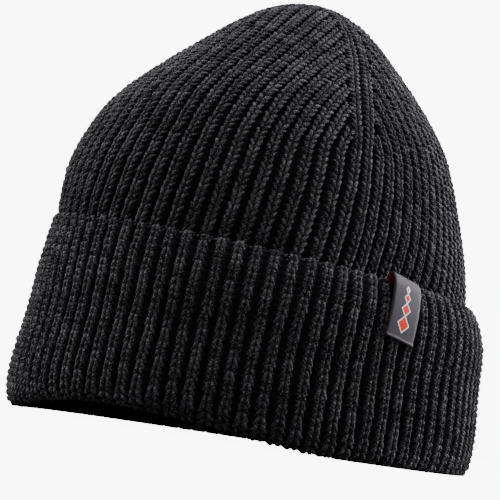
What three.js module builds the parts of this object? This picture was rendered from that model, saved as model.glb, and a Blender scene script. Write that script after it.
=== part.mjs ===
// A cuffed beanie in chunky rib knit, standing on its rim.
// Millimetres, +Z up. The origin is on the ground under the middle of the opening, and the front is at -Y.
// An azimuth is in degrees from the front, turning towards +X, the wearer's left.
import * as THREE from "three";

// The plan is an oval: a radius in the tables below is a mean, wider from front to back than across.
const OVAL = { across: 0.9375, along: 1.0585 };

// The knit is one row of ribs all the way round, in four panels that meet at the crown's decrease lines.
const PANELS = 4;
const RIBS_PER_PANEL = 22;
const RIBS = PANELS * RIBS_PER_PANEL;
const RIB_STEP = 360 / RIBS;
// Where the decrease lines stand on the even knit at the rim, and on the stretched crown.
const FIRST_DART_AT_RIM = -30;
const DART_AZIMUTHS = [-31, 75, 161, 245];
const EVEN_BELOW = 9.3;
const STRETCHED_ABOVE = 60;
// How far the knit is turned on its way up: the ribs lean to one side below the decreases and near the tip.
const TWIST = [
  { height: 60, angle: -10.2 },
  { height: 75, angle: -7.1 },
  { height: 90, angle: -4.1 },
  { height: 105, angle: -1.6 },
  { height: 125, angle: 0 },
  { height: 138, angle: 0.3 },
  { height: 150, angle: 1.8 },
  { height: 160, angle: 4.5 },
  { height: 170, angle: 7.5 },
  { height: 188, angle: 11 },
];

// The wall is corrugated: each rib outside is a groove inside. Depths are measured in from the rib tops.
const WALL = { groove: 1.8, fabric: 2.2 };

// The crown's outside, from its lower edge inside the cuff to the tip. sway leans it towards SWAY_AZIMUTH.
const CROWN_PROFILE = [
  { height: 9.3, radius: 91.2, sway: 0 },
  { height: 30, radius: 90.3, sway: 0 },
  { height: 50, radius: 88.6, sway: 0 },
  { height: 64, radius: 87.5, sway: 0.5 },
  { height: 76, radius: 87.4, sway: 1.5 },
  { height: 88, radius: 86.6, sway: 3 },
  { height: 104, radius: 83.7, sway: 4.5 },
  { height: 120, radius: 78.2, sway: 4.2 },
  { height: 130, radius: 73.5, sway: 3.5 },
  { height: 139, radius: 67.3, sway: 2.5 },
  { height: 148, radius: 59.4, sway: 1.3 },
  { height: 157, radius: 50.6, sway: 0.2 },
  { height: 166, radius: 41.2, sway: -0.8 },
  { height: 175, radius: 31.2, sway: -1.8 },
  { height: 182.5, radius: 20.5, sway: -2.5 },
  { height: 186.8, radius: 9.5, sway: -3 },
  { height: 188, radius: 0, sway: -3 },
];
const SWAY_AZIMUTH = -45;
const DECREASES_START = 119;
// Rows of the mesh below the decreases, by height: outside, and inside the hollow.
const OUTSIDE_ROWS = [9.3, 60, 86, 103];
const INSIDE_ROWS = [9.3, 60, 90];

// The cuff's section, up its outside, over its top edge, down behind, round the fold's slot and out
// below. groove is how far the groove lies behind the rib top: outwards if positive, inwards if negative.
// lean moves a row away from CUFF_SKEW.azimuth.
const CUFF_SECTION = [
  { radius: 95.2, height: 0, groove: 0.5, lean: 0 },
  { radius: 97.6, height: 3, groove: 1.3, lean: 0 },
  { radius: 98.7, height: 14, groove: 1.8, lean: 0 },
  { radius: 96.4, height: 40, groove: 1.8, lean: 1 },
  { radius: 95.2, height: 56, groove: 1.8, lean: 1.7 },
  { radius: 93.0, height: 66, groove: 1.6, lean: 1.8 },
  { radius: 90.6, height: 72.5, groove: 1.0, lean: 1.3 },
  { radius: 89.0, height: 75, groove: 0.3, lean: 0.3 },
  { radius: 88.1, height: 74.5, groove: 0, lean: 0 },
  { radius: 93.8, height: 22, groove: 0, lean: 0 },
  { radius: 91.7, height: 9, groove: 0, lean: 0 },
  { radius: 87.2, height: 9, groove: -1.3, lean: 0 },
  { radius: 88.0, height: 3, groove: -1.0, lean: 0 },
  { radius: 90.4, height: 0, groove: -0.4, lean: 0 },
];
const CUFF_HEIGHT = 75;
// The share of the crown's stretch that the cuff's ribs follow at its top edge.
const CUFF_STRETCH = { share: 0.5, above: 20 };
// The cuff is turned up higher on one side, and its front lifts off the ground in a low arch.
const CUFF_SKEW = { rise: 5.5, azimuth: -45 };
const FRONT_ARCH = { lift: 8, azimuth: 15, halfWidth: 62 };

// A woven ribbon, hooked over the cuff's top edge, as the line that its middle follows. It leans with
// the ribs, turned about the middle of its top.
const LABEL = { azimuth: 85, width: 13.5, thickness: 1, lean: 12, top: 74, steps: 3, rows: 16 };
const LABEL_LINE = [
  { radius: 88.3, height: 60 },
  { radius: 87.3, height: 65 },
  { radius: 86.9, height: 70 },
  { radius: 88.0, height: 73.6 },
  { radius: 91.2, height: 74.0 },
  { radius: 94.2, height: 71 },
  { radius: 95.9, height: 64 },
  { radius: 96.9, height: 57 },
  { radius: 97.4, height: 49.5 },
];
// The ribbon's tail presses this dent into the crown behind the cuff.
const LABEL_DENT = { depth: 2, height: 68, halfHeight: 22, halfWidth: 20 };

const COLOURS = { knit: 0x2b2b2e, ribbon: 0x4a474d };

const radians = THREE.MathUtils.degToRad;
const smoothstep = THREE.MathUtils.smoothstep;
const lerp = THREE.MathUtils.lerp;

// A smooth bump: 1 in the middle, 0 from halfWidth outwards.
function hump(distance, halfWidth) {
  const share = Math.min(1, Math.abs(distance) / halfWidth);
  return Math.cos((share * Math.PI) / 2) ** 2;
}

// The shorter way from one azimuth to another, in degrees.
function turn(from, to) {
  return THREE.MathUtils.euclideanModulo(to - from + 180, 360) - 180;
}

// The angle of the twist at a height.
function twistAt(height) {
  const above = TWIST.findIndex((row) => row.height >= height);
  if (above < 1) return TWIST.at(above).angle;
  const [low, high] = [TWIST[above - 1], TWIST[above]];
  return THREE.MathUtils.mapLinear(height, low.height, high.height, low.angle, high.angle);
}

const crownCurve = new THREE.CatmullRomCurve3(
  CROWN_PROFILE.map((row) => new THREE.Vector3(row.radius, row.height, row.sway)),
  false,
  "centripetal",
);
const crownSamples = crownCurve.getPoints(400);

function swayAt(height) {
  const above = crownSamples.findIndex((point) => point.y >= height);
  return above < 0 ? crownSamples.at(-1).z : crownSamples[above].z;
}

// A point of the beanie from its azimuth, mean radius and height, with the plan's oval, the crown's
// sway and the front's arch.
function place(azimuth, radius, height) {
  const angle = radians(azimuth);
  const lean = radians(SWAY_AZIMUTH);
  const sway = swayAt(height);
  const arch = FRONT_ARCH.lift * hump(turn(FRONT_ARCH.azimuth, azimuth), FRONT_ARCH.halfWidth);
  const low = Math.max(0, 1 - height / CUFF_HEIGHT);
  return new THREE.Vector3(
    OVAL.across * radius * Math.sin(angle) + sway * Math.sin(lean),
    -OVAL.along * radius * Math.cos(angle) - sway * Math.cos(lean),
    height + arch * low ** 2,
  );
}

// The share along the crown's curve where one of its coordinates passes a value.
function crownShare(passed) {
  let low = 0;
  let high = 1;
  for (let step = 0; step < 40; step += 1) {
    const middle = (low + high) / 2;
    if (passed(crownCurve.getPoint(middle))) high = middle;
    else low = middle;
  }
  return (low + high) / 2;
}

// The azimuth of a place on the crown, counted in ribs from the middle of its panel. ribsToDart is how
// many ribs lie between that middle and the decrease line.
function crownAzimuth(panel, ribs, ribsToDart, height) {
  const share = (ribs / ribsToDart + 1) / 2;
  const start = DART_AZIMUTHS[panel];
  const end = panel + 1 < PANELS ? DART_AZIMUTHS[panel + 1] : DART_AZIMUTHS[0] + 360;
  const stretched = lerp(start, end, share) + twistAt(height);
  const even = FIRST_DART_AT_RIM + (panel + share) * RIBS_PER_PANEL * RIB_STEP;
  return lerp(even, stretched, smoothstep(height, EVEN_BELOW, STRETCHED_ABOVE));
}

// One ring of the crown's outer or inner face: a groove and a rib top in turn.
function crownRing(share, ribsToDart, inside) {
  const at = crownCurve.getPoint(share);
  const along = crownCurve.getTangent(share);
  const outward = new THREE.Vector2(along.y, -along.x).normalize();
  const ring = [];
  for (let panel = 0; panel < PANELS; panel += 1) {
    for (let half = 0; half < 4 * ribsToDart; half += 1) {
      const azimuth = crownAzimuth(panel, half / 2 - ribsToDart, ribsToDart, at.y);
      const dent =
        LABEL_DENT.depth *
        hump(turn(LABEL.azimuth, azimuth), LABEL_DENT.halfWidth) *
        hump(at.y - LABEL_DENT.height, LABEL_DENT.halfHeight);
      const groove = half % 2 === 0 ? WALL.groove : 0;
      const depth = groove + dent + (inside ? WALL.fabric : 0);
      ring.push(place(azimuth, at.x - outward.x * depth, at.y - outward.y * depth));
    }
  }
  return ring;
}

// Triangles between two rings of as many points, facing out where the second ring is the higher.
function band(lower, upper) {
  const triangles = [];
  lower.forEach((point, i) => {
    const next = (i + 1) % lower.length;
    triangles.push(point, lower[next], upper[next], point, upper[next], upper[i]);
  });
  return triangles;
}

// Triangles between a ring and the next one up the crown, where each panel has one rib fewer on
// each side: the rib beside the decrease line ends, and the line's own rib moves in.
function narrowingBand(lower, upper, ribsToDart) {
  const perPanel = 4 * ribsToDart;
  const mapped = (i) => {
    const panel = Math.floor(i / perPanel);
    const ribs = (i % perPanel) / 2 - ribsToDart;
    const distance = Math.abs(ribs);
    let moved = distance - 1;
    if (distance <= ribsToDart - 2) moved = distance;
    else if (distance <= ribsToDart - 1) moved = ribsToDart - 2;
    const start = panel * (perPanel - 4);
    return (start + 2 * (Math.sign(ribs) * moved + ribsToDart - 1)) % upper.length;
  };
  const triangles = [];
  lower.forEach((point, i) => {
    const next = (i + 1) % lower.length;
    const [above, aboveNext] = [mapped(i), mapped(next)];
    triangles.push(point, lower[next], upper[aboveNext]);
    if (above !== aboveNext) triangles.push(point, upper[aboveNext], upper[above]);
  });
  return triangles;
}

// One face of the crown, from its lowest ring to the gathered tip.
function crownFace(heights, inside) {
  const ribsToDart = RIBS_PER_PANEL / 2;
  const shares = heights.map((height) => crownShare((point) => point.y >= height));
  const start = crownShare((point) => point.y >= DECREASES_START);
  const startRadius = crownCurve.getPoint(start).x;
  let ring = crownRing(shares[0], ribsToDart, inside);
  const lowest = ring;
  const triangles = [];
  for (const share of [...shares.slice(1), start]) {
    const next = crownRing(share, ribsToDart, inside);
    triangles.push(...band(ring, next));
    ring = next;
  }
  for (let ribs = ribsToDart - 1; ribs > 0; ribs -= 1) {
    const radius = (startRadius * ribs) / ribsToDart;
    const share = crownShare((point) => point.y > DECREASES_START && point.x <= radius);
    const next = crownRing(share, ribs, inside);
    triangles.push(...narrowingBand(ring, next, ribs + 1));
    ring = next;
  }
  const last = CROWN_PROFILE.at(-1);
  const tip = place(0, 0, last.height - (inside ? WALL.groove + WALL.fabric : 0));
  ring.forEach((point, i) => triangles.push(point, ring[(i + 1) % ring.length], tip));
  return { lowest, triangles };
}

// The same triangles with their faces turned round.
function flipped(triangles) {
  return triangles.map((_, i) => triangles[i - (i % 3) + (3 - (i % 3)) % 3]);
}

function makeGeometry(points) {
  return new THREE.BufferGeometry().setFromPoints(points);
}

function makeMesh(name, points, colour, roughness) {
  const material = new THREE.MeshStandardMaterial({
    color: colour,
    roughness,
    metalness: 0,
    flatShading: true,
  });
  const mesh = new THREE.Mesh(makeGeometry(points), material);
  mesh.name = name;
  return mesh;
}

// The crown: a tube of ribs, narrowed at four decrease lines and gathered at the tip, open below.
function makeCrown() {
  const outer = crownFace(OUTSIDE_ROWS, false);
  const inner = crownFace(INSIDE_ROWS, true);
  const edge = band(inner.lowest, outer.lowest);
  return makeMesh("crown", [...outer.triangles, ...flipped(inner.triangles), ...edge], COLOURS.knit, 0.95);
}

// The azimuth of a rib of the cuff, even at the fold and drawn aside towards the top edge.
function cuffAzimuth(ribs, height) {
  const even = FIRST_DART_AT_RIM + ribs * RIB_STEP;
  const panel = Math.floor(ribs / RIBS_PER_PANEL);
  const fromMiddle = (ribs % RIBS_PER_PANEL) - RIBS_PER_PANEL / 2;
  const drawn = crownAzimuth(panel, fromMiddle, RIBS_PER_PANEL / 2, CUFF_HEIGHT);
  const rise = Math.max(0, (height - CUFF_STRETCH.above) / (CUFF_HEIGHT - CUFF_STRETCH.above));
  return even + (drawn - even) * CUFF_STRETCH.share * rise ** 2;
}

// The cuff: the same knit folded up outside itself, with a short return inside that meets the crown.
function makeCuff() {
  const rings = CUFF_SECTION.map((row) => {
    const ring = [];
    for (let half = 0; half < 2 * RIBS; half += 1) {
      const azimuth = cuffAzimuth(half / 2, row.height);
      const side = Math.cos(radians(azimuth - CUFF_SKEW.azimuth));
      const skew = CUFF_SKEW.rise * side * smoothstep(row.height, 9, CUFF_HEIGHT);
      const radius = row.radius - row.lean * side - (half % 2 === 0 ? 0 : row.groove);
      ring.push(place(azimuth, radius, row.height * (1 + skew / CUFF_HEIGHT)));
    }
    return ring;
  });
  const triangles = rings.flatMap((ring, i) => band(ring, rings[(i + 1) % rings.length]));
  return makeMesh("cuff", triangles, COLOURS.knit, 0.95);
}

// The label: a strip with a face each side of its line, swept across its width.
function makeLabel() {
  const line = new THREE.CatmullRomCurve3(
    LABEL_LINE.map((row) => new THREE.Vector3(row.radius, row.height, 0)),
    false,
    "centripetal",
  );
  const faces = [1, -1].map((side) =>
    Array.from({ length: LABEL.rows + 1 }, (_, i) => {
      const share = i / LABEL.rows;
      const along = line.getTangentAt(share);
      const at = line.getPointAt(share);
      const offset = (side * LABEL.thickness) / 2;
      return new THREE.Vector2(at.x - along.y * offset, at.y + along.x * offset);
    }),
  );
  const section = [...faces[0], ...faces[1].reverse()];
  const meanRadius = LABEL_LINE.at(-1).radius;
  const lean = radians(LABEL.lean);
  const slices = Array.from({ length: LABEL.steps + 1 }, (_, i) => {
    const across = LABEL.width * (i / LABEL.steps - 0.5);
    return section.map((point) => {
      const aside = across * Math.cos(lean) + (point.y - LABEL.top) * Math.sin(lean);
      const azimuth = LABEL.azimuth + THREE.MathUtils.radToDeg(aside / meanRadius);
      return place(azimuth, point.x, point.y - across * Math.sin(lean));
    });
  });
  const triangles = [];
  for (let i = 0; i < LABEL.steps; i += 1) triangles.push(...band(slices[i], slices[i + 1]));
  for (const [a, b, c] of THREE.ShapeUtils.triangulateShape(section, [])) {
    triangles.push(slices[0][a], slices[0][b], slices[0][c]);
    const end = slices[LABEL.steps];
    triangles.push(end[a], end[c], end[b]);
  }
  return makeMesh("label", triangles, COLOURS.ribbon, 0.7);
}

const beanie = new THREE.Group();
beanie.add(makeCrown(), makeCuff(), makeLabel());

export default beanie;
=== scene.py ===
"""A cuffed beanie in chunky rib knit, standing on its rim, as a studio photograph shows it.

Tables give millimetres and meshes are in metres, +Z up. An azimuth is in degrees from the wearer's
front, -Y, turning towards the wearer's left, +X.
"""

import math

import bmesh
import bpy
import numpy as np
from mathutils import Matrix, Vector


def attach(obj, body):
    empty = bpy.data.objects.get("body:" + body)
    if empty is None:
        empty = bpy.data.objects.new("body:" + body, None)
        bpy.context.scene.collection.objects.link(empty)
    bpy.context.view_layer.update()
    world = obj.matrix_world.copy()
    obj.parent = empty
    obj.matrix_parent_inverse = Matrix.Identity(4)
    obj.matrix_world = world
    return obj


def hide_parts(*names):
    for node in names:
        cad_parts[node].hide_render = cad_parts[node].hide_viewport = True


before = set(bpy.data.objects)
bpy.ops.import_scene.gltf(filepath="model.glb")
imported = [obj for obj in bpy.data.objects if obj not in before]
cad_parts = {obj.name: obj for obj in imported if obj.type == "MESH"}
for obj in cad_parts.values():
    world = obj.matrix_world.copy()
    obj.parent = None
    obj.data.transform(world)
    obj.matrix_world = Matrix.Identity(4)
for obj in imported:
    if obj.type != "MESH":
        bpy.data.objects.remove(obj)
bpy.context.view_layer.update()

# The crown: the hat's body, a tube of rib knit in black acrylic yarn, narrowed at four decrease
# lines and gathered at the tip. It is knitted in one with the cuff and runs down behind it.
# This is the fabric itself, with its grooves. The stitches that stand on it come next.
MM = 0.001
OVAL_ACROSS = 0.9375
OVAL_ALONG = 1.0585
SWAY_AZIMUTH = -45
ARCH_LIFT = 8
ARCH_AZIMUTH = 15
ARCH_HALF_WIDTH = 62
CUFF_HEIGHT = 75
PANELS = 4
RIBS_PER_PANEL = 22
RIBS = PANELS * RIBS_PER_PANEL
RIB_STEP = 360 / RIBS
FIRST_DART_AT_RIM = -30
DART_AZIMUTHS = np.array([-31, 75, 161, 245, 329])
EVEN_BELOW = 9.3
STRETCHED_ABOVE = 60
# How far the knit is turned on its way up. Columns: height, angle.
TWIST = [
    (60, -10.2),
    (75, -7.1),
    (90, -4.1),
    (105, -1.6),
    (125, 0),
    (138, 0.3),
    (150, 1.8),
    (160, 4.5),
    (170, 7.5),
    (188, 11),
]
GROOVE = 1.8
FABRIC = 2.2
# The fabric's face lies this far behind the tops of the ribs, which the stitches make.
GROUND_DEPTH = 0.6
COURSE = 2.76
WELD_DISTANCE = 0.00001
# The purl rows' slant across a rib, in stitches, and how far they and the fibres stand up.
PURL_SLANT = 1.2
PURL_RELIEF = 0.35
FIBRE_RELIEF = 1.2
# Painted shade in the grooves: the colour is darkest at a groove's bottom. This is how fast the
# charcoal fibres set in from there up to the ribs beside it.
PAINTED_GROOVE_SHADE_RATE = 1.7
FABRIC_DARK = (0.008, 0.0078, 0.0086, 1)
FABRIC_LIGHT = (0.06, 0.059, 0.064, 1)
# Columns and rows of the fabric's two faces.
OUTSIDE_GRID = (4 * RIBS, 80)
INSIDE_GRID = (2 * RIBS, 44)
# Columns: radius, height, sway.
CROWN_PROFILE = [
    (91.2, 9.3, 0),
    (90.3, 30, 0),
    (88.6, 50, 0),
    (87.5, 64, 0.5),
    (87.4, 76, 1.5),
    (86.6, 88, 3),
    (83.7, 104, 4.5),
    (78.2, 120, 4.2),
    (73.5, 130, 3.5),
    (67.3, 139, 2.5),
    (59.4, 148, 1.3),
    (50.6, 157, 0.2),
    (41.2, 166, -0.8),
    (31.2, 175, -1.8),
    (20.5, 182.5, -2.5),
    (9.5, 186.8, -3),
    (0, 188, -3),
]
DECREASES_START = 119
# The label's tail presses this dent into the crown behind the cuff.
DENT_DEPTH = 2
DENT_HEIGHT = 68
DENT_HALF_HEIGHT = 22
DENT_HALF_WIDTH = 20
LABEL_AZIMUTH = 85


def hump(distance, half_width):
    """A smooth bump: 1 in the middle, 0 from half_width outwards."""
    share = np.clip(np.abs(distance) / half_width, 0, 1)
    return np.cos(share * math.pi / 2) ** 2


def turn(start, end):
    """The shorter way from one azimuth to another, in degrees."""
    return (end - start + 180) % 360 - 180


def smoothstep(value, low, high):
    """0 below low, 1 above high, and smooth between them."""
    share = np.clip((value - low) / (high - low), 0, 1)
    return share * share * (3 - 2 * share)


def place(azimuth, radius, height, sway=0):
    """Points of the hat in metres, on its oval plan, with the crown's sway and the front's arch."""
    angle = np.radians(azimuth)
    lean = math.radians(SWAY_AZIMUTH)
    arch = ARCH_LIFT * hump(turn(ARCH_AZIMUTH, azimuth), ARCH_HALF_WIDTH)
    low = np.maximum(0, 1 - height / CUFF_HEIGHT)
    x = OVAL_ACROSS * radius * np.sin(angle) + sway * math.sin(lean)
    y = -OVAL_ALONG * radius * np.cos(angle) - sway * math.cos(lean)
    return np.stack(np.broadcast_arrays(x, y, height + arch * low**2), axis=-1) * MM


def spline_through(rows, per_span=16):
    """A centripetal Catmull-Rom curve through the rows of a table, as a fine polyline."""
    rows = np.array(rows, float)
    padded = np.vstack([2 * rows[0] - rows[1], rows, 2 * rows[-1] - rows[-2]])
    spans = []
    for a, b, c, d in zip(padded, padded[1:], padded[2:], padded[3:]):
        t1 = np.linalg.norm(b - a) ** 0.5
        t2 = t1 + np.linalg.norm(c - b) ** 0.5
        t3 = t2 + np.linalg.norm(d - c) ** 0.5
        t = np.linspace(t1, t2, per_span, endpoint=False)[:, None]
        ab = a + (b - a) * t / t1
        bc = b + (c - b) * (t - t1) / (t2 - t1)
        cd = c + (d - c) * (t - t2) / (t3 - t2)
        abc = ab + (bc - ab) * t / t2
        bcd = bc + (cd - bc) * (t - t1) / (t3 - t1)
        spans.append(abc + (bcd - abc) * (t - t1) / (t2 - t1))
    return np.vstack([*spans, rows[-1:]])


class Section:
    """A smooth line in the plane of radius and height, read by its length from the start."""

    def __init__(self, points):
        self.points = points
        steps = np.linalg.norm(np.diff(self.points[:, :2], axis=0), axis=1)
        self.lengths = np.concatenate([[0], np.cumsum(steps)])
        self.length = self.lengths[-1]
        self.tangents = np.gradient(self.points[:, :2], self.lengths, axis=0)

    def at(self, along, depth=0):
        """Radius, height and the table's other columns at a length, and depth behind the line."""
        columns = [np.interp(along, self.lengths, column) for column in self.points.T]
        t_radius = np.interp(along, self.lengths, self.tangents[:, 0])
        t_height = np.interp(along, self.lengths, self.tangents[:, 1])
        size = np.hypot(t_radius, t_height)
        columns[0] = columns[0] - depth * t_height / size
        columns[1] = columns[1] + depth * t_radius / size
        return columns

    def where(self, passed):
        """The first length at which a test of radius and height holds."""
        return self.lengths[np.argmax(passed(self.points[:, 0], self.points[:, 1]))]


crown_section = Section(spline_through(CROWN_PROFILE))
decrease_start = crown_section.where(lambda radius, height: height >= DECREASES_START)
decrease_radius = crown_section.at(decrease_start)[0]


def crown_sway(height):
    return np.interp(height, crown_section.points[:, 1], crown_section.points[:, 2])


def ribs_to_dart(along):
    """How many ribs lie between the middle of a panel and its decrease line."""
    radius = crown_section.at(along)[0]
    narrowed = np.where(along > decrease_start, radius / decrease_radius, 1)
    return RIBS_PER_PANEL / 2 * narrowed


def crown_azimuth(panel, share, height):
    """The azimuth of a place on the crown from its panel and its share of the panel's width."""
    stretched = DART_AZIMUTHS[panel] * (1 - share) + DART_AZIMUTHS[panel + 1] * share
    stretched = stretched + np.interp(height, *zip(*TWIST))
    even = FIRST_DART_AT_RIM + (panel + share) * RIBS_PER_PANEL * RIB_STEP
    return even + (stretched - even) * smoothstep(height, EVEN_BELOW, STRETCHED_ABOVE)


def crown_points(panel, share, along, depth):
    """Points of the crown, depth behind the tops of its ribs."""
    height = crown_section.at(along)[1]
    azimuth = crown_azimuth(panel, share, height)
    dent = hump(turn(LABEL_AZIMUTH, azimuth), DENT_HALF_WIDTH)
    dent = dent * hump(height - DENT_HEIGHT, DENT_HALF_HEIGHT)
    radius, height, sway = crown_section.at(along, depth + DENT_DEPTH * dent)
    return place(azimuth, np.maximum(radius, 0), height, sway)


def rib_position(share, along):
    """How many ribs a place lies from its panel's middle, and how high its rib stands, 0 to 1."""
    ribs = ribs_to_dart(along)
    across = (2 * share - 1) * ribs
    edge = np.abs(across) > ribs - 1
    from_edge = np.abs(np.abs(across) - (ribs - 0.5))
    centre = np.floor(np.abs(across)) + 0.5
    inner = np.where(centre + 0.5 <= ribs - 1, np.abs(np.abs(across) - centre), 0.5)
    distance = np.where(edge, from_edge, inner)
    return across, np.clip(1 - (2 * distance) ** 2, 0, 1)


def crown_face(round_share, along, surface_depth, pattern_shift):
    """One face of the crown's fabric, with a groove beside each rib that fades out at the tip."""
    panel = np.minimum((round_share * PANELS).astype(int), PANELS - 1)
    share = round_share * PANELS - panel
    across, relief = rib_position(share, along)
    fade = np.clip(ribs_to_dart(along) - 1, 0, 1)
    points = crown_points(panel, share, along, surface_depth + GROOVE * (1 - relief) * fade)
    return points, np.stack([across + pattern_shift, along / COURSE], axis=-1)


def crown_outside(round_share, along_share):
    return crown_face(round_share, along_share * crown_section.length, GROUND_DEPTH, 0)


def crown_inside(round_share, along_share):
    return crown_face(round_share, (1 - along_share) * crown_section.length, FABRIC, 0.5)


def grid_surface(name, columns, rows, shape):
    """A tube or strip: a grid of columns round the hat and rows along it, bent to shape and welded.

    shape takes the shares round and along, from 0 to 1, and gives the points in metres and a pair
    of pattern coordinates.
    """
    mesh = bpy.data.meshes.new(name)
    bm = bmesh.new()
    bmesh.ops.create_grid(bm, x_segments=columns, y_segments=rows, size=0.5)
    bm.to_mesh(mesh)
    flat = np.zeros(len(mesh.vertices) * 3)
    mesh.vertices.foreach_get("co", flat)
    flat = flat.reshape(-1, 3) + 0.5
    points, pattern = shape(flat[:, 0], flat[:, 1])
    mesh.vertices.foreach_set("co", points.ravel())
    corners = np.zeros(len(mesh.loops), int)
    mesh.loops.foreach_get("vertex_index", corners)
    uv = mesh.uv_layers.new(name="knit")
    uv.uv.foreach_set("vector", pattern[corners].astype(np.float32).ravel())
    bm.clear()
    bm.from_mesh(mesh)
    bmesh.ops.remove_doubles(bm, verts=bm.verts, dist=WELD_DISTANCE)
    bmesh.ops.recalc_face_normals(bm, faces=bm.faces)
    bm.to_mesh(mesh)
    bm.free()
    return mesh


def new_material(name):
    material = bpy.data.materials.new(name)
    material.use_nodes = True
    return material, material.node_tree.nodes, material.node_tree.links


def sum_of(nodes, links, *scaled):
    """A chain of nodes that adds outputs, each multiplied by its factor."""
    total = None
    for output, factor in scaled:
        step = nodes.new("ShaderNodeMath")
        step.operation = "MULTIPLY_ADD"
        step.inputs[1].default_value = factor
        step.inputs[2].default_value = 0
        links.new(output, step.inputs[0])
        if total:
            links.new(total, step.inputs[2])
        total = step.outputs["Value"]
    return total


def make_fibre_group():
    """Loose fibres: Size specks to each metre of yarn, as a mask and a height."""
    group = bpy.data.node_groups.new("Fibres", "ShaderNodeTree")
    sockets = group.interface
    sockets.new_socket("Vector", in_out="INPUT", socket_type="NodeSocketVector")
    sockets.new_socket("Size", in_out="INPUT", socket_type="NodeSocketFloat")
    sockets.new_socket("Mask", in_out="OUTPUT", socket_type="NodeSocketFloat")
    sockets.new_socket("Height", in_out="OUTPUT", socket_type="NodeSocketFloat")
    nodes, links = group.nodes, group.links
    given = nodes.new("NodeGroupInput")
    out = nodes.new("NodeGroupOutput")
    fine = nodes.new("ShaderNodeTexNoise")
    fine.inputs["Detail"].default_value = 2
    fine.inputs["Roughness"].default_value = 0.9
    links.new(given.outputs["Vector"], fine.inputs["Vector"])
    links.new(given.outputs["Size"], fine.inputs["Scale"])
    sharpen = nodes.new("ShaderNodeMapRange")
    sharpen.inputs["From Min"].default_value = 0.47
    sharpen.inputs["From Max"].default_value = 0.62
    links.new(fine.outputs["Fac"], sharpen.inputs["Value"])
    links.new(sharpen.outputs["Result"], out.inputs["Mask"])
    links.new(fine.outputs["Fac"], out.inputs["Height"])
    return group


fibres = make_fibre_group()


def wave_of(nodes, links, output):
    """A sine with one period for each whole number of its input, from -1 to 1."""
    turns = nodes.new("ShaderNodeMath")
    turns.operation = "MULTIPLY"
    turns.inputs[1].default_value = math.tau
    links.new(output, turns.inputs[0])
    wave = nodes.new("ShaderNodeMath")
    wave.operation = "SINE"
    links.new(turns.outputs["Value"], wave.inputs[0])
    return wave.outputs["Value"]


def make_fabric_material():
    """The knit behind the ribs: rows of purl bumps, from the ribs and stitches of its UV map."""
    material, nodes, links = new_material("knit_ground")
    shader = nodes["Principled BSDF"]
    shader.inputs["Roughness"].default_value = 0.97
    shader.inputs["Specular IOR Level"].default_value = 0
    place_on_hat = nodes.new("ShaderNodeTexCoord")
    hairs = nodes.new("ShaderNodeGroup")
    hairs.node_tree = fibres
    hairs.inputs["Size"].default_value = 1500
    links.new(place_on_hat.outputs["Object"], hairs.inputs["Vector"])
    pattern = nodes.new("ShaderNodeUVMap")
    pattern.uv_map = "knit"
    apart = nodes.new("ShaderNodeSeparateXYZ")
    links.new(pattern.outputs["UV"], apart.inputs["Vector"])
    across = nodes.new("ShaderNodeMath")
    across.operation = "PINGPONG"
    across.inputs[1].default_value = 0.5
    links.new(apart.outputs["X"], across.inputs[0])
    slanted = sum_of(nodes, links, (across.outputs["Value"], PURL_SLANT), (apart.outputs["Y"], 1))
    rows = wave_of(nodes, links, slanted)
    bump = nodes.new("ShaderNodeBump")
    bump.inputs["Strength"].default_value = 0.9
    bump.inputs["Distance"].default_value = 0.0006
    relief = sum_of(nodes, links, (hairs.outputs["Height"], FIBRE_RELIEF), (rows, PURL_RELIEF))
    links.new(relief, bump.inputs["Height"])
    links.new(bump.outputs["Normal"], shader.inputs["Normal"])
    colour = nodes.new("ShaderNodeMix")
    colour.data_type = "RGBA"
    colour.inputs["A"].default_value = FABRIC_DARK
    colour.inputs["B"].default_value = FABRIC_LIGHT
    # Painted shade: the fibres fade out towards each groove's bottom, so the colour darkens there
    # to FABRIC_DARK.
    fibres_and_groove_shade = nodes.new("ShaderNodeMath")
    fibres_and_groove_shade.operation = "MULTIPLY"
    links.new(hairs.outputs["Mask"], fibres_and_groove_shade.inputs[0])
    links.new(sum_of(nodes, links, (across.outputs["Value"], PAINTED_GROOVE_SHADE_RATE)), fibres_and_groove_shade.inputs[1])
    links.new(fibres_and_groove_shade.outputs["Value"], colour.inputs["Factor"])
    links.new(colour.outputs["Result"], shader.inputs["Base Color"])
    return material


fabric = make_fabric_material()


def piece(name, mesh, material, slot, *nodes):
    """A finished piece of the hat, riding on its one body."""
    mesh.materials.append(material)
    mesh.shade_smooth()
    built = bpy.data.objects.new(name, mesh)
    bpy.context.scene.collection.objects.link(built)
    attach(built, "root")
    if nodes:
        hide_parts(*nodes)
    return built


def make_crown_fabric():
    outside = grid_surface("crown_outside", *OUTSIDE_GRID, crown_outside)
    inside = grid_surface("crown_inside", *INSIDE_GRID, crown_inside)
    bm = bmesh.new()
    bm.from_mesh(outside)
    bm.from_mesh(inside)
    rims = [edge for edge in bm.edges if edge.is_boundary]
    bmesh.ops.bridge_loops(bm, edges=rims)
    bmesh.ops.recalc_face_normals(bm, faces=bm.faces)
    mesh = bpy.data.meshes.new("crown_fabric")
    bm.to_mesh(mesh)
    bm.free()
    piece("crown_fabric", mesh, fabric, "knit", "crown")


make_crown_fabric()

# The crown's stitches: each is a V of two-ply yarn, black with charcoal fibres and a little hairy.
# Its legs rise from the rib's middle and roll over its sides, tucked under the stitch above. Each
# panel of the crown is one mesh of joined copies.
LEG_THICKNESS = 1.8
LEG_FLATNESS = 0.75
LEG_TWIST = 1.3 * math.pi
LEG_LENGTH = 4.4
LEG_FOOT = 0.45
LEG_HEAD = 1.75
LEG_ROLL = 0.25
LEG_ARCH = 0.8
# A leg keeps its thickness to near its ends, the more so the higher this is.
LEG_BLUNTNESS = 6
LEG_SIDES = 5
LEG_RINGS = 6
STITCH_DEPTH = 0.95
# A stitch is as wide as this share of its usual width, and the rest follows the distance to the
# next wale.
FIXED_WIDTH = 0.55
USUAL_PITCH = 7.0
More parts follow.
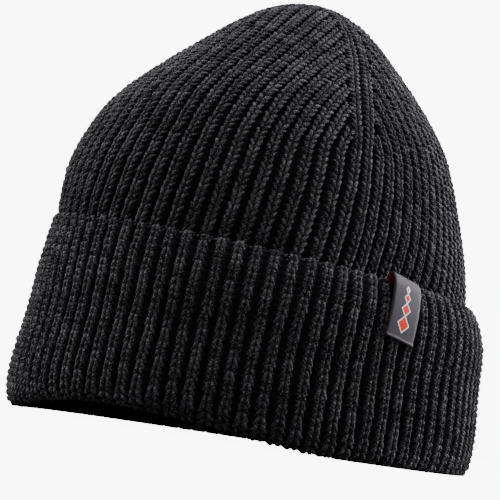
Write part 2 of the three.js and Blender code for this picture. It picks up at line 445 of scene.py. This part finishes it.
# How much stitches differ: their tilt in degrees, size, and place across the rib, at random and in
# a slow wave.
STITCH_TILT = 3.5
STITCH_VARIATION = 0.06
STITCH_WANDER = 0.12
WAVE_WANDER = 0.22
WAVE_LENGTH = 11
# How far below its wale's end the first stitch lies, in stitches.
FIRST_STITCH = (0.1, 0.3)
WALE_STEP = 0.8
CROWN_STITCHES_FROM = 60
# A wale ends where it has fewer ribs than this beside it, and the two along a decrease line run on
# nearly to the tip.
WALE_ROOM = 0.95
EDGE_WALE_ROOM = 0.5
# The knit isn't stretched towards the tip, and its ribs spread there.
WIDER_ABOVE = 0.5
LOOSE_HEIGHTS = (110, 150)
YARN_DARK = (0.001, 0.001, 0.0012, 1)
YARN_LIGHT = (0.18, 0.176, 0.191, 1)
# Most stitches are dark, and a few catch charcoal fibres.
HEATHER_SPREAD = (2, 6)
HEATHER_LIGHTEST = 0.9
# What the yarn's tone is made of: loose fibres, painted shade between its plies and painted
# highlight on them, and the shade of each stitch.
FLECK_SHARE = 0.5
PAINTED_PLY_SHADE = 0.08
STITCH_SHARE = 0.5
# Turns of the two plies round a leg and along it.
PLIES_ROUND = 2
PLIES_ALONG = 4
PLY_RELIEF = 0.5
rng = np.random.default_rng(7)


def make_yarn_material():
    """The yarn: plies twisted round each leg by its UV map, fibres, and a shade for each stitch."""
    material, nodes, links = new_material("yarn")
    shader = nodes["Principled BSDF"]
    shader.inputs["Roughness"].default_value = 0.95
    shader.inputs["Specular IOR Level"].default_value = 0.05
    place_on_hat = nodes.new("ShaderNodeTexCoord")
    hairs = nodes.new("ShaderNodeGroup")
    hairs.node_tree = fibres
    hairs.inputs["Size"].default_value = 1300
    links.new(place_on_hat.outputs["Object"], hairs.inputs["Vector"])
    strand = nodes.new("ShaderNodeUVMap")
    strand.uv_map = "knit"
    apart = nodes.new("ShaderNodeSeparateXYZ")
    links.new(strand.outputs["UV"], apart.inputs["Vector"])
    around, length = apart.outputs["X"], apart.outputs["Y"]
    twisted = sum_of(nodes, links, (around, PLIES_ROUND), (length, PLIES_ALONG))
    plies = wave_of(nodes, links, twisted)
    shade = nodes.new("ShaderNodeAttribute")
    shade.attribute_name = "shade"
    # The plies darken the colour between them and lighten it on them: painted shade and highlight,
    # beside their bump.
    tone = sum_of(
        nodes,
        links,
        (hairs.outputs["Mask"], FLECK_SHARE),
        (plies, PAINTED_PLY_SHADE),
        (shade.outputs["Fac"], STITCH_SHARE),
    )
    colour = nodes.new("ShaderNodeMix")
    colour.data_type = "RGBA"
    colour.clamp_factor = True
    colour.inputs["A"].default_value = YARN_DARK
    colour.inputs["B"].default_value = YARN_LIGHT
    links.new(tone, colour.inputs["Factor"])
    links.new(colour.outputs["Result"], shader.inputs["Base Color"])
    bump = nodes.new("ShaderNodeBump")
    bump.inputs["Strength"].default_value = 0.4
    bump.inputs["Distance"].default_value = 0.0005
    relief = sum_of(nodes, links, (hairs.outputs["Height"], FIBRE_RELIEF), (plies, PLY_RELIEF))
    links.new(relief, bump.inputs["Height"])
    links.new(bump.outputs["Normal"], shader.inputs["Normal"])
    return material


yarn = make_yarn_material()


def make_stitch():
    """One V of yarn in millimetres: x across the rib, y along it, z outwards."""
    bm = bmesh.new()
    bm.loops.layers.uv.new("knit")
    bmesh.ops.create_uvsphere(
        bm, u_segments=LEG_SIDES, v_segments=LEG_RINGS, radius=0.5, calc_uvs=True
    )
    bmesh.ops.rotate(bm, verts=bm.verts, matrix=Matrix.Rotation(-math.pi / 2, 3, "X"))
    for vertex in bm.verts:
        rise = vertex.co.y + 0.5
        across = LEG_FOOT + (LEG_HEAD - LEG_FOOT) * rise
        from_middle = abs(2 * rise - 1)
        blunt = max(1 - from_middle**LEG_BLUNTNESS, 0)
        fuller = math.sqrt(blunt / max(1 - from_middle**2, 0.001))
        wide = vertex.co.x * LEG_THICKNESS * fuller
        thin = vertex.co.z * LEG_THICKNESS * LEG_FLATNESS * fuller
        twist = LEG_TWIST * rise
        vertex.co.x = wide * math.cos(twist) - thin * math.sin(twist) + across
        vertex.co.z = wide * math.sin(twist) + thin * math.cos(twist)
        vertex.co.z += LEG_ARCH * math.sin(rise * math.pi) - LEG_ROLL * across**2
        vertex.co.y *= LEG_LENGTH
    other = bmesh.ops.duplicate(bm, geom=bm.verts[:] + bm.edges[:] + bm.faces[:])["geom"]
    other_verts = [part for part in other if isinstance(part, bmesh.types.BMVert)]
    bmesh.ops.scale(bm, verts=other_verts, vec=(-1, 1, 1))
    bmesh.ops.recalc_face_normals(bm, faces=bm.faces)
    bmesh.ops.triangulate(bm, faces=bm.faces)
    mesh = bpy.data.meshes.new("stitch")
    bm.to_mesh(mesh)
    bm.free()
    return mesh


def read_array(items, name, width, kind):
    values = np.zeros(len(items) * width, kind)
    items.foreach_get(name, values)
    return values.reshape(-1, width)


def joined_copies(name, template, frames, shades):
    """One mesh with a copy of the template at each frame, which gives its axes, place and shade.

    Nothing goes below the floor, where the yarn is pressed flat.
    """
    corners = read_array(template.vertices, "co", 3, float)
    faces = read_array(template.polygons, "vertices", 3, int)
    uvs = read_array(template.uv_layers["knit"].uv, "vector", 2, np.float32)
    points = np.einsum("cij,nj->cni", frames[:, :, :3], corners) + frames[:, None, :, 3]
    points[..., 2] = np.maximum(points[..., 2], 0)
    starts = np.arange(len(frames))[:, None, None] * len(corners)
    mesh = bpy.data.meshes.new(name)
    mesh.from_pydata(points.reshape(-1, 3), [], (faces[None] + starts).reshape(-1, 3))
    uv = mesh.uv_layers.new(name="knit")
    uv.uv.foreach_set("vector", np.tile(uvs, (len(frames), 1)).ravel())
    shade = mesh.attributes.new("shade", "FLOAT", "POINT")
    shade.data.foreach_set("value", np.repeat(shades, len(corners)).astype(np.float32))
    return mesh


def unit(vectors):
    return vectors / np.linalg.norm(vectors, axis=-1, keepdims=True)


def stitches_up(front, behind, pitch, reach, direction):
    """Frames for stitches one course apart along a wale, from fine points on and behind its face.

    pitch is the distance to the next wale at each point, reach is the length of a stitch there
    against its usual length, and direction is 1 or -1 for the way the Vs open.
    """
    steps = np.linalg.norm(np.diff(front, axis=0), axis=1) / MM
    lengths = np.concatenate([[0], np.cumsum(steps)])
    places = np.arange(lengths[-1] - COURSE * rng.uniform(*FIRST_STITCH), 0, -COURSE)

    def sample(values):
        return np.stack([np.interp(places, lengths, column) for column in values.T], axis=-1)

    count = len(places)
    y_axis = unit(sample(np.gradient(front, lengths, axis=0)) * direction)
    x_axis = unit(np.cross(y_axis, sample(front - behind)))
    z_axis = np.cross(x_axis, y_axis)
    tilt = np.radians(rng.normal(0, STITCH_TILT, count))[:, None]
    x_axis, y_axis = (
        x_axis * np.cos(tilt) + y_axis * np.sin(tilt),
        y_axis * np.cos(tilt) - x_axis * np.sin(tilt),
    )
    spread = FIXED_WIDTH + (1 - FIXED_WIDTH) * np.interp(places, lengths, pitch) / USUAL_PITCH
    sizes = rng.normal(1, STITCH_VARIATION, (count, 3))
    sizes[:, 1] *= np.interp(places, lengths, reach)
    wave = np.sin(places / WAVE_LENGTH + rng.uniform(0, math.tau))
    wander = WAVE_WANDER * wave + rng.normal(0, STITCH_WANDER, count)
    centre = sample(front) + x_axis * wander[:, None] * MM
    sizes[:, 0] *= spread
    axes = [x_axis * sizes[:, :1], y_axis * sizes[:, 1:2], z_axis * sizes[:, 2:]]
    return np.stack([*(axis * MM for axis in axes), centre], axis=-1)


def heather(count):
    """A shade for each stitch."""
    return rng.beta(*HEATHER_SPREAD, count) * HEATHER_LIGHTEST


def crown_wale(panel, offset):
    """The stitches of one of a panel's wales, offset ribs from its middle, up to where it ends."""
    first = crown_section.where(lambda radius, height: height >= CROWN_STITCHES_FROM)
    along = np.arange(first, crown_section.length - 1, WALE_STEP)
    ribs = ribs_to_dart(along)
    if abs(offset) > RIBS_PER_PANEL / 2 - 1:
        across = np.sign(offset) * (ribs - 0.5)
        kept = ribs > EDGE_WALE_ROOM
    else:
        across = np.full(len(along), float(offset))
        kept = ribs > abs(offset) + WALE_ROOM
    along, across, ribs = along[kept], across[kept], ribs[kept]
    share = (across / ribs + 1) / 2
    front = crown_points(panel, share, along, STITCH_DEPTH)
    behind = crown_points(panel, share, along, STITCH_DEPTH + 1)
    panel_width = math.radians(DART_AZIMUTHS[panel + 1] - DART_AZIMUTHS[panel])
    height = crown_section.at(along)[1]
    loose = 1 + WIDER_ABOVE * smoothstep(height, *LOOSE_HEIGHTS)
    pitch = panel_width * crown_section.at(along)[0] / (2 * ribs) * loose
    return stitches_up(front, behind, pitch, np.ones(len(along)), 1)


def make_crown_stitches(panel):
    offsets = np.arange(RIBS_PER_PANEL) - (RIBS_PER_PANEL - 1) / 2
    frames = np.concatenate([crown_wale(panel, offset) for offset in offsets])
    mesh = joined_copies(f"crown_stitches_{panel + 1}", stitch, frames, heather(len(frames)))
    piece(mesh.name, mesh, yarn, "knit")
    return frames


stitch = make_stitch()
crown_frames = [make_crown_stitches(panel) for panel in range(PANELS)]

# The cuff: the same knit turned up outside itself, so its stitches stand upside down. It rolls
# round a soft fold at the rim, from a short return inside that meets the crown, up to its cast-on
# edge at the top, and the knit's stretch holds it up. Each quarter's stitches are one mesh.
CUFF_PIECES = 4
# Columns: radius, height, depth of the groove between ribs, lean away from SKEW_AZIMUTH.
CUFF_FACE = [
    (87.2, 9, 0, 0),
    (88.0, 3, 1.0, 0),
    (90.4, 0, 0.4, 0),
    (95.2, 0, 0.5, 0),
    (97.6, 3, 1.3, 0),
    (98.7, 14, 1.8, 0),
    (96.4, 40, 1.8, 1.0),
    (95.2, 56, 1.8, 1.7),
    (93.0, 66, 1.6, 1.8),
    (90.6, 72.5, 1.0, 1.3),
    (89.0, 75, 0.3, 0.3),
    (88.1, 74.5, 0, 0),
]
CUFF_BACK = [(93.8, 22, 0, 0), (91.7, 9, 0, 0), (87.2, 9, 0, 0)]
# The stitches are drawn wide, short and flat where they turn round the fold.
WIDER_AT_FOLD = 1.2
DEEPER_AT_FOLD = 0.1
SHORTER_AT_FOLD = 0.15
FOLD_HEIGHTS = (1, 13)
CUFF_STRETCH = 0.5
CUFF_STRETCH_FROM = 20
SKEW_RISE = 5.5
SKEW_AZIMUTH = -45
SKEW_FROM = 9
CUFF_EDGE_HEIGHT = 74.6
CUFF_GRID = (4 * RIBS, 60)

cuff_face = Section(spline_through(CUFF_FACE))
cuff_loop = Section(np.vstack([cuff_face.points, CUFF_BACK]))
cuff_edge = cuff_face.where(lambda radius, height: height > CUFF_EDGE_HEIGHT)


def cuff_azimuth(ribs, height):
    """The azimuth of a rib of the cuff, even at the fold and drawn aside towards the top edge."""
    even = FIRST_DART_AT_RIM + ribs * RIB_STEP
    panel = np.floor(ribs / RIBS_PER_PANEL).astype(int) % PANELS
    drawn = crown_azimuth(panel, ribs / RIBS_PER_PANEL % 1, CUFF_HEIGHT)
    rise = np.maximum(0, (height - CUFF_STRETCH_FROM) / (CUFF_HEIGHT - CUFF_STRETCH_FROM))
    return even + turn(even, drawn) * CUFF_STRETCH * rise**2


def cuff_points(section, azimuth, along, depth):
    """Points of the cuff, depth behind its ribs' tops, with its top edge higher on one side."""
    radius, height, _, lean = section.at(along, depth)
    side = np.cos(np.radians(azimuth - SKEW_AZIMUTH))
    rise = SKEW_RISE * side * smoothstep(height, SKEW_FROM, CUFF_HEIGHT)
    raised = height * (1 + rise / CUFF_HEIGHT)
    return place(azimuth, radius - lean * side, np.maximum(raised, 0), crown_sway(raised))


def cuff_surface(round_share, along_share):
    along = along_share * cuff_loop.length
    _, height, groove, _ = cuff_loop.at(along)
    azimuth = cuff_azimuth(round_share * RIBS, height)
    ribs = round_share * RIBS
    from_rib = np.abs((ribs + 0.5) % 1 - 0.5)
    relief = 1 - (2 * from_rib) ** 2
    depth = np.minimum(groove, GROUND_DEPTH) + groove * (1 - relief)
    points = cuff_points(cuff_loop, azimuth, along, depth)
    return points, np.stack([ribs + 0.5, along / COURSE], axis=-1)


def cuff_wale(rib):
    along = np.arange(0, cuff_edge, WALE_STEP)
    height = cuff_face.at(along)[1]
    azimuth = cuff_azimuth(rib, height)
    at_fold = 1 - smoothstep(height, *FOLD_HEIGHTS)
    depth = STITCH_DEPTH + DEEPER_AT_FOLD * at_fold
    front = cuff_points(cuff_face, azimuth, along, depth)
    behind = cuff_points(cuff_face, azimuth, along, depth + 1)
    pitch = math.radians(RIB_STEP) * cuff_face.at(along)[0] * (1 + WIDER_AT_FOLD * at_fold)
    reach = 1 - SHORTER_AT_FOLD * at_fold
    return stitches_up(front, behind, pitch, reach, -1)


def make_cuff_stitches(quarter):
    ribs = np.arange(RIBS // CUFF_PIECES) + quarter * RIBS // CUFF_PIECES
    frames = np.concatenate([cuff_wale(rib) for rib in ribs])
    mesh = joined_copies(f"cuff_stitches_{quarter + 1}", stitch, frames, heather(len(frames)))
    piece(mesh.name, mesh, yarn, "knit")
    return frames


cuff_mesh = grid_surface("cuff_fabric", *CUFF_GRID, cuff_surface)
piece("cuff_fabric", cuff_mesh, fabric, "knit", "cuff")
cuff_frames = [make_cuff_stitches(quarter) for quarter in range(CUFF_PIECES)]

# The cuff's cast-on edge: a row of small loops of the same yarn that runs round the cuff's top, two
# to a rib, and binds its last stitches together.
LOOPS_PER_RIB = 2
LOOP_LENGTH = 0.84
LOOP_THICKNESS = 0.62
LOOP_SLANT = 22
LOOP_SIDES = 6
LOOP_RINGS = 6
# Where the first loop stands, as a share of the distance to the next.
FIRST_LOOP = 0.25
SLANT_VARIATION = 7
LOOP_VARIATION = 0.08
# How much deeper than the stitches the loops lie, and how much darker they are drawn than the same
# yarn beside them, painted shade at the cuff's top edge.
LOOP_SINK = 0.2
LOOP_PAINTED_SHADE = 0.2
# Thickness and length of the strand in millimetres, before the factors above.
STRAND = (1.9, 5.6, 1.9)


def make_loop():
    """One short strand of yarn in millimetres, bulging outwards, along y."""
    bm = bmesh.new()
    bm.loops.layers.uv.new("knit")
    bmesh.ops.create_uvsphere(
        bm, u_segments=LOOP_SIDES, v_segments=LOOP_RINGS, radius=0.5, calc_uvs=True
    )
    bmesh.ops.rotate(bm, verts=bm.verts, matrix=Matrix.Rotation(-math.pi / 2, 3, "X"))
    bmesh.ops.scale(bm, verts=bm.verts, vec=STRAND)
    bmesh.ops.triangulate(bm, faces=bm.faces)
    mesh = bpy.data.meshes.new("loop")
    bm.to_mesh(mesh)
    bm.free()
    return mesh


def make_edge_loops():
    count = RIBS * LOOPS_PER_RIB
    ribs = (np.arange(count) + FIRST_LOOP) / LOOPS_PER_RIB
    along = np.full(count, cuff_edge)
    azimuth = cuff_azimuth(ribs, cuff_face.at(along)[1])
    centre = cuff_points(cuff_face, azimuth, along, STITCH_DEPTH + LOOP_SINK)
    outward = unit(centre - cuff_points(cuff_face, azimuth, along, STITCH_DEPTH + 1))
    sideways = unit(cuff_points(cuff_face, azimuth + 1, along, STITCH_DEPTH) - centre)
    upward = np.cross(outward, sideways)
    slant = np.radians(rng.normal(LOOP_SLANT, SLANT_VARIATION, count))[:, None]
    y_axis = unit(sideways * np.cos(slant) + upward * np.sin(slant))
    x_axis = np.cross(y_axis, outward)
    sizes = rng.normal(1, LOOP_VARIATION, (count, 1))
    thick, long = LOOP_THICKNESS * sizes, LOOP_LENGTH * sizes
    axes = [x_axis * thick, y_axis * long, outward * thick]
    frames = np.stack([*(axis * MM for axis in axes), centre], axis=-1)
    # The loops' colour is darkened: painted shade.
    mesh = joined_copies("cuff_edge_loops", loop, frames, LOOP_PAINTED_SHADE * heather(count))
    piece("cuff_edge_loops", mesh, yarn, "knit")


loop = make_loop()
make_edge_loops()

# The fuzz: short loose ends of acrylic fibre that stand off the yarn all over the hat. Each leaves
# its stitch at a random place and points more or less outwards.
HAIRS = 16000
HAIR_LENGTH = 1.9
HAIR_THICKNESS = 0.11
# Where a fibre leaves its stitch: how far to either side, along and out, in millimetres.
HAIR_ASIDE = (0.6, 1.7)
HAIR_ALONG = 1.4
HAIR_OUT = 0.9
# How far the fibres point every way, how much more outwards, and the range of their lengths, as
# shares of HAIR_LENGTH, and of their shades.
HAIR_SCATTER = 0.75
HAIR_OUTWARDS = 0.2
HAIR_SIZES = (0.5, 1.2)
HAIR_SHADES = (0.1, 0.7)


def make_hair():
    """One fibre in millimetres, thinner towards its end, along z."""
    bm = bmesh.new()
    bm.loops.layers.uv.new("knit")
    bmesh.ops.create_cone(
        bm,
        cap_ends=True,
        cap_tris=True,
        segments=3,
        radius1=HAIR_THICKNESS / 2,
        radius2=0,
        depth=HAIR_LENGTH,
    )
    bmesh.ops.triangulate(bm, faces=bm.faces)
    mesh = bpy.data.meshes.new("hair")
    bm.to_mesh(mesh)
    bm.free()
    return mesh


def make_fuzz():
    stitches = np.concatenate([*crown_frames, *cuff_frames])
    chosen = stitches[rng.integers(0, len(stitches), HAIRS)]
    aside = rng.choice([-1, 1], HAIRS) * rng.uniform(*HAIR_ASIDE, HAIRS)
    up = rng.uniform(-HAIR_ALONG, HAIR_ALONG, HAIRS)
    local = np.stack([aside, up, np.full(HAIRS, HAIR_OUT)], axis=-1)
    centre = chosen[:, :, 3] + np.einsum("cij,cj->ci", chosen[:, :, :3], local)
    direction = rng.normal(0, HAIR_SCATTER, (HAIRS, 3))
    direction[:, 2] = np.abs(direction[:, 2]) + HAIR_OUTWARDS
    z_axis = unit(np.einsum("cij,cj->ci", chosen[:, :, :3], direction))
    x_axis = unit(np.cross(z_axis, rng.normal(0, 1, (HAIRS, 3))))
    y_axis = np.cross(z_axis, x_axis)
    sizes = rng.uniform(*HAIR_SIZES, (HAIRS, 1))
    frames = np.stack([x_axis * MM, y_axis * MM, z_axis * sizes * MM, centre], axis=-1)
    mesh = joined_copies("fuzz", make_hair(), frames, rng.uniform(*HAIR_SHADES, HAIRS))
    piece("fuzz", mesh, yarn, "knit")


make_fuzz()

# The label: a strip of woven satin ribbon hooked over the cuff's top edge, dark grey outside and
# red behind, with a column of lozenges woven in and a folded hem at its lower end. It is sewn into
# the edge.
LABEL_WIDTH = 14.2
LABEL_THICKNESS = 0.9
LABEL_LEAN = 12
LABEL_TOP = 74
HEM = 0.9
HEM_STEP = 0.4
HEM_EDGE = 0.2
LABEL_GRID = (14, 100)
# Threads to a millimetre, and how much lighter they are where they catch the light.
WARP = 3.1
WEFT = 2.3
THREAD_SHEEN = 1.6
# Columns: radius, height.
LABEL_LINE = [
    (88.6, 60),
    (88.8, 65),
    (89.2, 69.5),
    (90.2, 72.4),
    (92.0, 73.0),
    (94.2, 70.5),
    (95.9, 64),
    (96.9, 57),
    (97.5, 48.4),
]
# Columns: distance of its middle from the lower end, half width, half height.
LOZENGES = [(6.6, 3.1, 3.6), (12.4, 2.4, 2.9), (16.9, 1.7, 2.2), (20.3, 1.1, 1.6)]
LOZENGE_OUTLINE = 0.5
RIBBON_GREY = (0.034, 0.028, 0.037, 1)
RIBBON_RED = (0.3, 0.008, 0.006, 1)
WOVEN_ORANGE = (0.62, 0.012, 0.001, 1)
WOVEN_WHITE = (0.8, 0.8, 0.78, 1)
label_section = Section(spline_through(LABEL_LINE))


def label_surface(across_share, along_share):
    """The ribbon's middle face. Its pattern counts millimetres across and up from the lower end."""
    from_end = along_share * label_section.length
    radius, height = label_section.at(label_section.length - from_end)
    across = LABEL_WIDTH * (across_share - 0.5)
    lean = math.radians(LABEL_LEAN)
    aside = across * math.cos(lean) + (height - LABEL_TOP) * math.sin(lean)
    azimuth = LABEL_AZIMUTH + np.degrees(aside / LABEL_LINE[-1][0])
    height = height - across * math.sin(lean)
    hem = HEM_STEP * smoothstep(HEM - from_end, -HEM_EDGE, HEM_EDGE)
    points = place(azimuth, radius + hem, height, crown_sway(height))
    return points, np.stack([across, from_end], axis=-1)


def make_lozenge_group():
    """How far a place lies from a lozenge's middle: 0 there, 1 on its edge."""
    group = bpy.data.node_groups.new("Lozenge", "ShaderNodeTree")
    for name in ("Across", "Up", "Middle", "Half Width", "Half Height"):
        group.interface.new_socket(name, in_out="INPUT", socket_type="NodeSocketFloat")
    group.interface.new_socket("Distance", in_out="OUTPUT", socket_type="NodeSocketFloat")
    nodes, links = group.nodes, group.links
    given = nodes.new("NodeGroupInput")
    out = nodes.new("NodeGroupOutput")

    def step(operation, first, second=None):
        node = nodes.new("ShaderNodeMath")
        node.operation = operation
        links.new(first, node.inputs[0])
        if second:
            links.new(second, node.inputs[1])
        return node.outputs["Value"]

    wide = step("DIVIDE", step("ABSOLUTE", given.outputs["Across"]), given.outputs["Half Width"])
    up = step("SUBTRACT", given.outputs["Up"], given.outputs["Middle"])
    high = step("DIVIDE", step("ABSOLUTE", up), given.outputs["Half Height"])
    links.new(step("ADD", wide, high), out.inputs["Distance"])
    return group


def colour_mix(nodes, links, factor, low, high):
    """A mix of two colours, each a value or an output."""
    mix = nodes.new("ShaderNodeMix")
    mix.data_type = "RGBA"
    links.new(factor, mix.inputs["Factor"])
    for name, colour in (("A", low), ("B", high)):
        if isinstance(colour, tuple):
            mix.inputs[name].default_value = colour
        else:
            links.new(colour, mix.inputs[name])
    return mix.outputs["Result"]


def compare(nodes, links, output, limit):
    less = nodes.new("ShaderNodeMath")
    less.operation = "LESS_THAN"
    less.inputs[1].default_value = limit
    links.new(output, less.inputs[0])
    return less.outputs["Value"]


def make_ribbon_material(name, colour, patterned):
    """Woven satin: fine threads both ways, and on the outside the column of lozenges."""
    material, nodes, links = new_material(name)
    shader = nodes["Principled BSDF"]
    shader.inputs["Roughness"].default_value = 0.45
    shader.inputs["Specular IOR Level"].default_value = 0.045
    strip = nodes.new("ShaderNodeUVMap")
    strip.uv_map = "knit"
    apart = nodes.new("ShaderNodeSeparateXYZ")
    links.new(strip.outputs["UV"], apart.inputs["Vector"])
    across, up = apart.outputs["X"], apart.outputs["Y"]
    warp = wave_of(nodes, links, sum_of(nodes, links, (across, WARP)))
    weft = wave_of(nodes, links, sum_of(nodes, links, (up, WEFT)))
    threads = sum_of(nodes, links, (warp, 0.5), (weft, 0.5))
    bump = nodes.new("ShaderNodeBump")
    bump.inputs["Strength"].default_value = 0.5
    bump.inputs["Distance"].default_value = 0.00008
    links.new(threads, bump.inputs["Height"])
    links.new(bump.outputs["Normal"], shader.inputs["Normal"])
    lighter = tuple(min(1, value * THREAD_SHEEN) for value in colour[:3]) + (1,)
    gloss = sum_of(nodes, links, (threads, 0.5))
    shown = colour_mix(nodes, links, gloss, colour, lighter)
    if patterned:
        for middle, half_width, half_height in LOZENGES:
            lozenge = nodes.new("ShaderNodeGroup")
            lozenge.node_tree = lozenge_group
            links.new(across, lozenge.inputs["Across"])
            links.new(up, lozenge.inputs["Up"])
            lozenge.inputs["Middle"].default_value = middle
            lozenge.inputs["Half Width"].default_value = half_width
            lozenge.inputs["Half Height"].default_value = half_height
            distance = lozenge.outputs["Distance"]
            whole = compare(nodes, links, distance, 1)
            shown = colour_mix(nodes, links, whole, shown, WOVEN_WHITE)
            inner = compare(nodes, links, distance, 1 - LOZENGE_OUTLINE / half_width)
            shown = colour_mix(nodes, links, inner, shown, WOVEN_ORANGE)
    links.new(shown, shader.inputs["Base Color"])
    return material


def make_label():
    mesh = grid_surface("label_ribbon", *LABEL_GRID, label_surface)
    front = make_ribbon_material("ribbon", RIBBON_GREY, True)
    built = piece("label_ribbon", mesh, front, "ribbon", "label")
    mesh.materials.append(make_ribbon_material("ribbon_reverse", RIBBON_RED, False))
    thick = built.modifiers.new("thickness", "SOLIDIFY")
    thick.thickness = LABEL_THICKNESS * MM
    thick.offset = 0
    thick.material_offset = 1
    thick.material_offset_rim = 0


lozenge_group = make_lozenge_group()
make_label()

# The studio: a white floor, a white room, and soft boxes above and beside the hat. None of it is
# part of the hat.
FLOOR_SIZE = 12
VIEW_AZIMUTH = 45
CAMERA_HEIGHT = 0.012
CAMERA_DISTANCE = 0.8
CAMERA_ROLL = 9
METRES_PER_PIXEL = 0.0004246
PHOTO_SIDE = 500
# Where the middle of the rim stands in the photograph, in its pixels.
RIM_PIXEL = (239, 440)
FLOOR_GREY = (0.12, 0.12, 0.12, 1)
WHITE_SEEN = 9
ROOM_LIGHT = 0.02
FLOOR_GLOW = 8.5
LIGHTS_AIM = (0, 0, 0.1)
# Columns: azimuth from the camera's, elevation, distance, size, watts, colour.
LIGHTS = {
    "above": (0, 88, 1.2, 1.6, 34, (0.98, 0.96, 1)),
    "right": (114, 26, 1.3, 1.2, 76, (0.96, 0.94, 1)),
    "left": (-112, 28, 1.4, 1.2, 58, (0.98, 0.98, 1)),
    "front": (-30, 60, 1.6, 0.8, 0.2, (1, 1, 1)),
}


def make_floor():
    """The floor, which glows a little for the camera only, so that it is as white as the room."""
    mesh = bpy.data.meshes.new("floor")
    bm = bmesh.new()
    bmesh.ops.create_grid(bm, x_segments=1, y_segments=1, size=FLOOR_SIZE / 2)
    bm.to_mesh(mesh)
    bm.free()
    material, nodes, links = new_material("floor")
    shader = nodes["Principled BSDF"]
    shader.inputs["Base Color"].default_value = FLOOR_GREY
    shader.inputs["Roughness"].default_value = 0.9
    shader.inputs["Emission Color"].default_value = (1, 1, 1, 1)
    seen = nodes.new("ShaderNodeLightPath")
    glow = nodes.new("ShaderNodeMath")
    glow.operation = "MULTIPLY"
    glow.inputs[1].default_value = FLOOR_GLOW
    links.new(seen.outputs["Is Camera Ray"], glow.inputs[0])
    links.new(glow.outputs["Value"], shader.inputs["Emission Strength"])
    mesh.materials.append(material)
    floor = bpy.data.objects.new("floor", mesh)
    bpy.context.scene.collection.objects.link(floor)


def make_light(name, azimuth, elevation, distance, size, watts, colour):
    light = bpy.data.lights.new(name, "AREA")
    light.size = size
    light.energy = watts
    light.color = colour
    lamp = bpy.data.objects.new(name, light)
    bpy.context.scene.collection.objects.link(lamp)
    a, e = math.radians(VIEW_AZIMUTH + azimuth), math.radians(elevation)
    back = Vector((math.sin(a) * math.cos(e), -math.cos(a) * math.cos(e), math.sin(e)))
    lamp.location = back * distance + Vector(LIGHTS_AIM)
    lamp.rotation_euler = back.to_track_quat("Z", "Y").to_euler()


def make_camera():
    a = math.radians(VIEW_AZIMUTH)
    roll = math.radians(CAMERA_ROLL)
    level = Vector((math.cos(a), math.sin(a), 0))
    right_px = PHOTO_SIDE / 2 - RIM_PIXEL[0]
    up_px = RIM_PIXEL[1] - PHOTO_SIDE / 2
    across = (right_px * math.cos(roll) - up_px * math.sin(roll)) * METRES_PER_PIXEL
    height = (right_px * math.sin(roll) + up_px * math.cos(roll)) * METRES_PER_PIXEL
    target = level * across + Vector((0, 0, height))
    elevation = math.asin((CAMERA_HEIGHT - height) / CAMERA_DISTANCE)
    back = Vector((
        math.sin(a) * math.cos(elevation),
        -math.cos(a) * math.cos(elevation),
        math.sin(elevation),
    ))
    up = back.cross(level)
    right = level * math.cos(roll) + up * math.sin(roll)
    tilted_up = up * math.cos(roll) - level * math.sin(roll)
    data = bpy.data.cameras.new("camera")
    data.lens = data.sensor_width * CAMERA_DISTANCE / (PHOTO_SIDE * METRES_PER_PIXEL)
    camera = bpy.data.objects.new("camera", data)
    bpy.context.scene.collection.objects.link(camera)
    turned = Matrix((right, tilted_up, back)).transposed().to_4x4()
    camera.matrix_world = Matrix.Translation(target + back * CAMERA_DISTANCE) @ turned
    bpy.context.scene.camera = camera


def make_room():
    """The room, which the camera sees white and which lights the hat only a little."""
    world = bpy.data.worlds.new("room")
    bpy.context.scene.world = world
    world.use_nodes = True
    nodes, links = world.node_tree.nodes, world.node_tree.links
    nodes["Background"].inputs["Color"].default_value = (1, 1, 1, 1)
    seen = nodes.new("ShaderNodeLightPath")
    strength = nodes.new("ShaderNodeMapRange")
    strength.inputs["To Min"].default_value = ROOM_LIGHT
    strength.inputs["To Max"].default_value = WHITE_SEEN
    links.new(seen.outputs["Is Camera Ray"], strength.inputs["Value"])
    links.new(strength.outputs["Result"], nodes["Background"].inputs["Strength"])


make_floor()
make_camera()
make_room()
for name, values in LIGHTS.items():
    make_light(name, *values)
